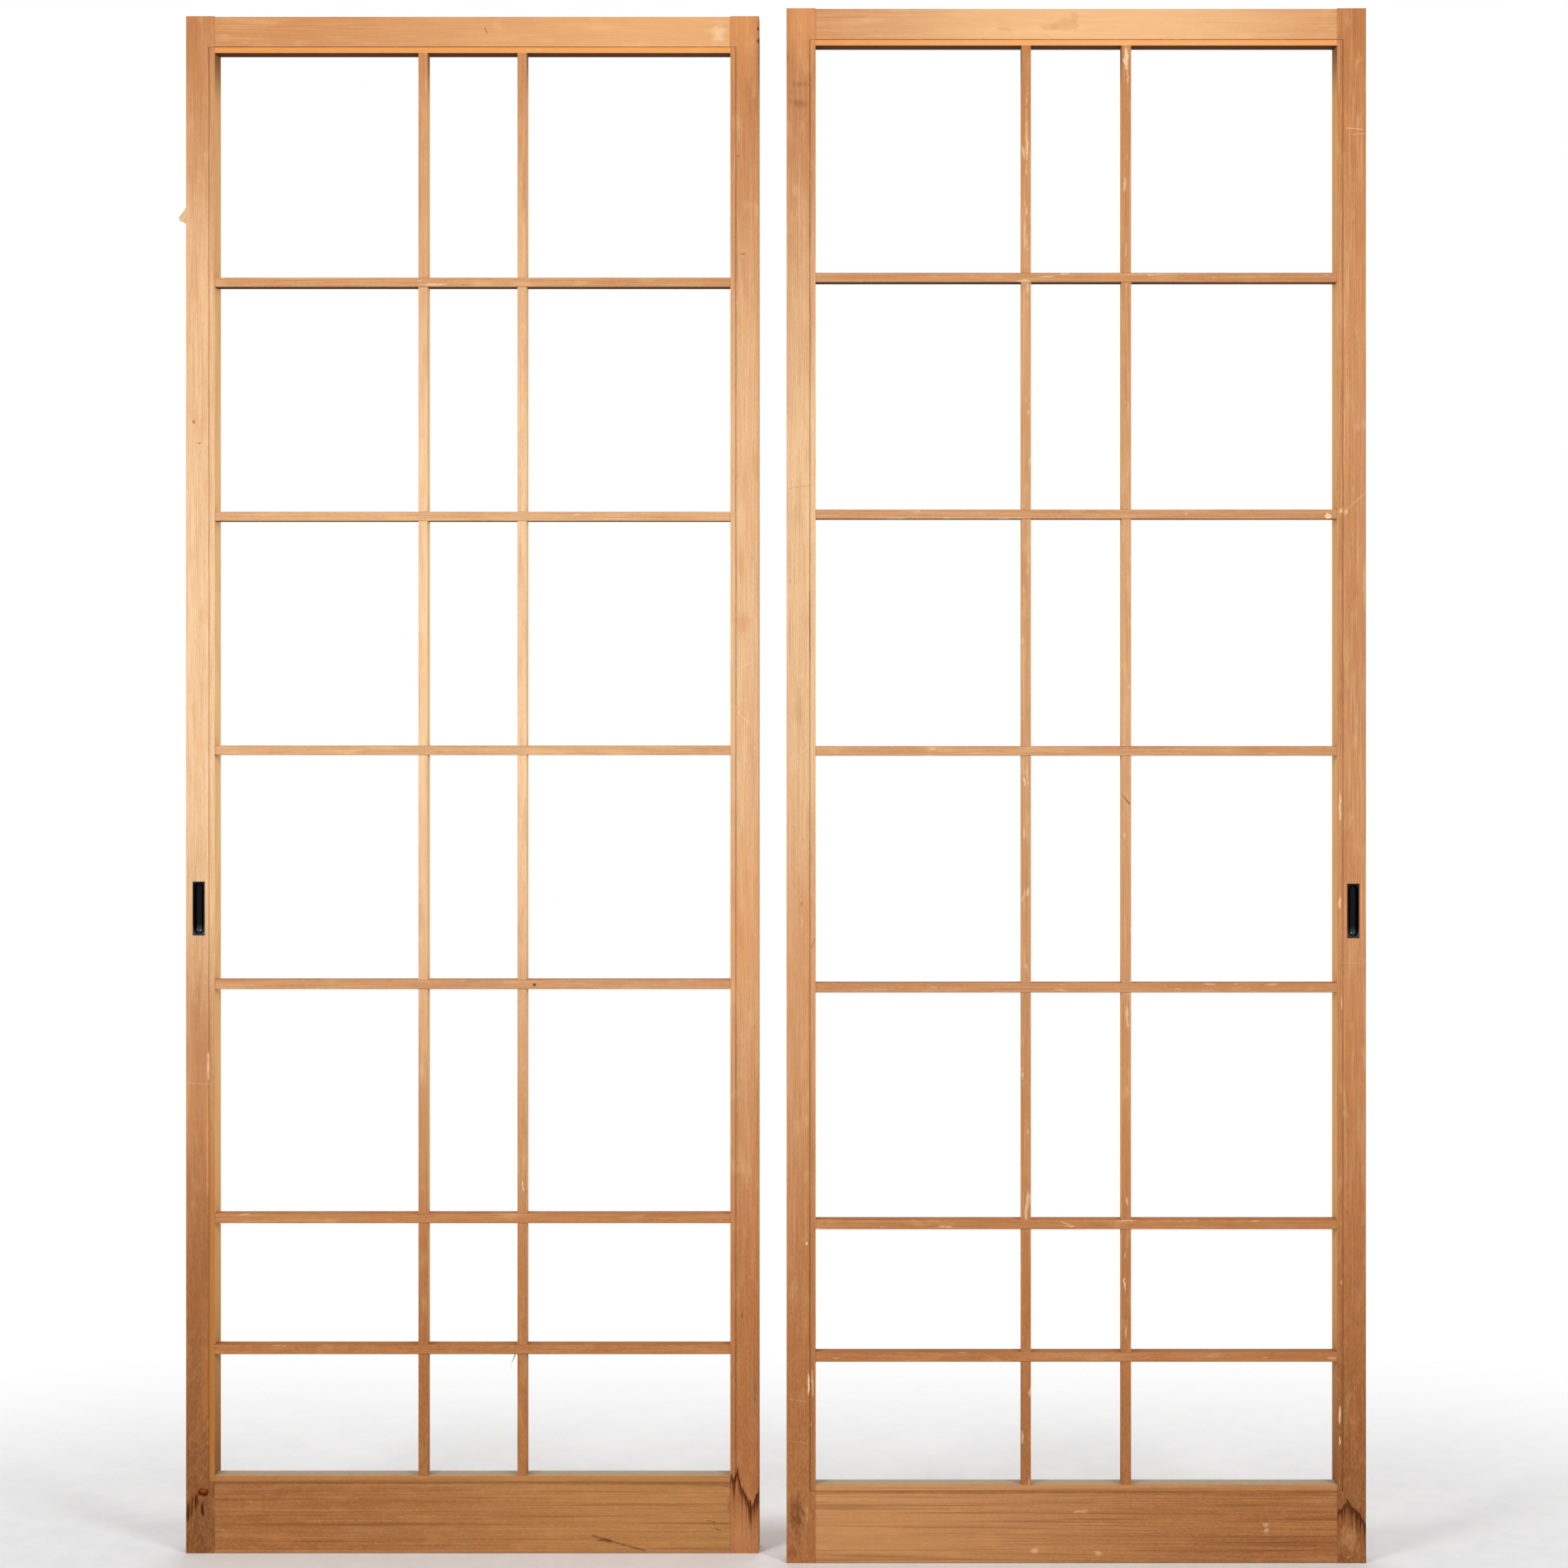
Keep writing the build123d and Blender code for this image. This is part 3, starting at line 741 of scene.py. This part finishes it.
def sliver(name, route, thick, thin, finish):
    """A sliver along a route of points, five-sided like split wood. Its half-thickness falls from
    thick at the root to thin at the tip."""
    shape = bmesh.new()
    rings = []
    for number, point in enumerate(route):
        share = number / (len(route) - 1)
        radius = thick + (thin - thick) * share
        ring = []
        for corner in range(5):
            angle = corner * math.tau / 5 + share * 0.8
            offset = (radius * math.cos(angle), radius * 0.6 * math.sin(angle), 0.0)
            ring.append(shape.verts.new(Vector(point) + Vector(offset)))
        rings.append(ring)
    for low, high in zip(rings, rings[1:]):
        for corner in range(5):
            after = (corner + 1) % 5
            shape.faces.new((low[corner], low[after], high[after], high[corner]))
    shape.faces.new(rings[0])
    shape.faces.new(rings[-1])
    piece_from(name, shape, "left_panel", finish)


SLIVER_STEPS = 8
dark_route = []
pale_route = []
for step in range(SLIVER_STEPS + 1):
    share = step / SLIVER_STEPS
    aside = 0.0034 * share + 0.0008 * share * share
    dark_route.append((-0.3018 - aside, 0.0050 - 0.0012 * share, 0.2333 - 0.0104 * share))
    aside = 0.0062 * math.sin(share * 2.7)
    pale_route.append((-0.3012 - aside, 0.0056, 0.2332 - 0.0220 * share))
sliver("dark_sliver", dark_route, 0.00075, 0.00018, sliver_wood)
sliver("pale_fibre", pale_route, 0.00016, 0.00008, old_paper)


# The finger pulls
#
# Glossy black mouldings pressed into the outer stiles, with a boat-shaped finger recess. Fingers
# have polished its lower end.

PULL_FOOT = 0.7235
pull_finish, pull_place = new_finish("black_moulding")
dust = pull_place.cloud((900.0, 900.0, 900.0), 2.0, 2.0).rise(0.62, 0.75)
smear = pull_place.cloud((160.0, 160.0, 90.0), 3.0, 3.0)
pull_height = pull_place.parts()[2]
moulding = {
    "Base Color": (dust * 0.12).blend(shade(5, 5, 8), shade(70, 68, 64)),
    "Roughness": 0.07 + smear * 0.14 + dust * 0.2,
    "Specular IOR Level": 0.12,
    "Coat Weight": pull_height.rise(PULL_FOOT + 0.014, PULL_FOOT + 0.006) * 0.9,
    "Coat Roughness": 0.10,
}
close_finish(pull_finish, dust.node("BsdfPrincipled", {}, moulding))
for side in ("left", "right"):
    for face in ("front", "back"):
        refinish(f"{side}_{face}_pull", pull_finish)


# The floor
#
# A wide round studio floor, painted nearly white. Near the panels it keeps their shadow, and
# further out it shines as evenly as the white world behind it.

floor_mesh = bpy.data.meshes.new("floor")
floor_shape = bmesh.new()
bmesh.ops.create_circle(floor_shape, cap_ends=True, segments=96, radius=14.0)
floor_shape.to_mesh(floor_mesh)
floor_shape.free()
floor = bpy.data.objects.new("floor", floor_mesh)
bpy.context.scene.collection.objects.link(floor)


def in_view(tree):
    """1 for what the camera, a gloss or a clear piece sees, and 0 for the light on the object."""
    rays = tree.nodes.new("ShaderNodeLightPath").outputs
    camera_ray, glossy_ray, clear_ray = (
        Signal(rays[f"Is {kind} Ray"]) for kind in ("Camera", "Glossy", "Transmission")
    )
    return camera_ray.either(glossy_ray).either(clear_ray)


PANELS_HALF_WIDTH = 0.69
WHITE = (1, 1, 1, 1)
floor_finish, floor_place = new_finish("pale_floor")
floor_x, floor_y = floor_place.parts()[:2]
beyond = (abs(floor_x) - PANELS_HALF_WIDTH).either(0.0)
far = ((beyond * beyond + floor_y * floor_y) ** 0.5).rise(0.04, 0.95)
speckle = floor_place.cloud((30.0, 30.0, 30.0), 1.0, 4.0)
paint = {
    "Base Color": speckle.rise(0.3, 0.7).blend(shade(243, 243, 244), shade(248, 248, 248)),
    "Roughness": 0.75,
    "Specular IOR Level": 0.2,
}
painted = speckle.node("BsdfPrincipled", {}, paint)
glow = far.node("Emission", {}, {"Color": WHITE, "Strength": 1.0})
shining = far * in_view(floor_finish.node_tree)
close_finish(floor_finish, far.node("MixShader", {}, {0: shining, 1: painted, 2: glow}))
floor_mesh.materials.append(floor_finish)


# The studio light
#
# Two soft boxes in front, one to each side, and a large weak one behind. The world is white to the
# eye, and gives the object a plain even light.


def soft_box(name, place, target, size, power):
    """A square lamp that shines from one place towards another and isn't seen itself."""
    lamp = bpy.data.lights.new(name, "AREA")
    lamp.shape = "SQUARE"
    lamp.size = size
    lamp.energy = power
    box = bpy.data.objects.new(name, lamp)
    box.location = place
    box.rotation_euler = (Vector(target) - Vector(place)).to_track_quat("-Z", "Y").to_euler()
    box.visible_camera = False
    bpy.context.scene.collection.objects.link(box)


soft_box("left_soft_box", (-1.9, -2.0, 1.75), (-0.15, 0.0, 1.1), 0.8, 34)
soft_box("right_soft_box", (1.9, -2.0, 1.75), (0.15, 0.0, 1.1), 0.8, 34)
soft_box("back_soft_box", (0.0, 2.2, 1.2), (0.0, 0.0, 0.9), 2.4, 22)

world = bpy.data.worlds.new("studio")
world.use_nodes = True
bpy.context.scene.world = world
world_tree = world.node_tree
world_tree.nodes.clear()
seen = in_view(world_tree)
room = seen.node("Background", {}, {"Color": WHITE, "Strength": 0.42 + seen * 0.58})
world_output = world_tree.nodes.new("ShaderNodeOutputWorld")
world_tree.links.new(room.socket, world_output.inputs["Surface"])


# The camera
#
# Level and square to the panels, a little to the right of their middle. Its lens is shifted
# instead of tilted, so the stiles stay upright.

CAMERA_PLACE = (0.072, -2.875, 1.0)
camera_lens = bpy.data.cameras.new("camera")
camera_lens.sensor_width = 36.0
camera_lens.lens = 56.4
camera_lens.shift_x = -0.0322
camera_lens.shift_y = -0.054
camera = bpy.data.objects.new("camera", camera_lens)
camera.location = CAMERA_PLACE
camera.rotation_euler = (math.pi / 2, 0.0, 0.0)
bpy.context.scene.collection.objects.link(camera)
bpy.context.scene.camera = camera

bpy.context.scene.view_settings.view_transform = "Standard"

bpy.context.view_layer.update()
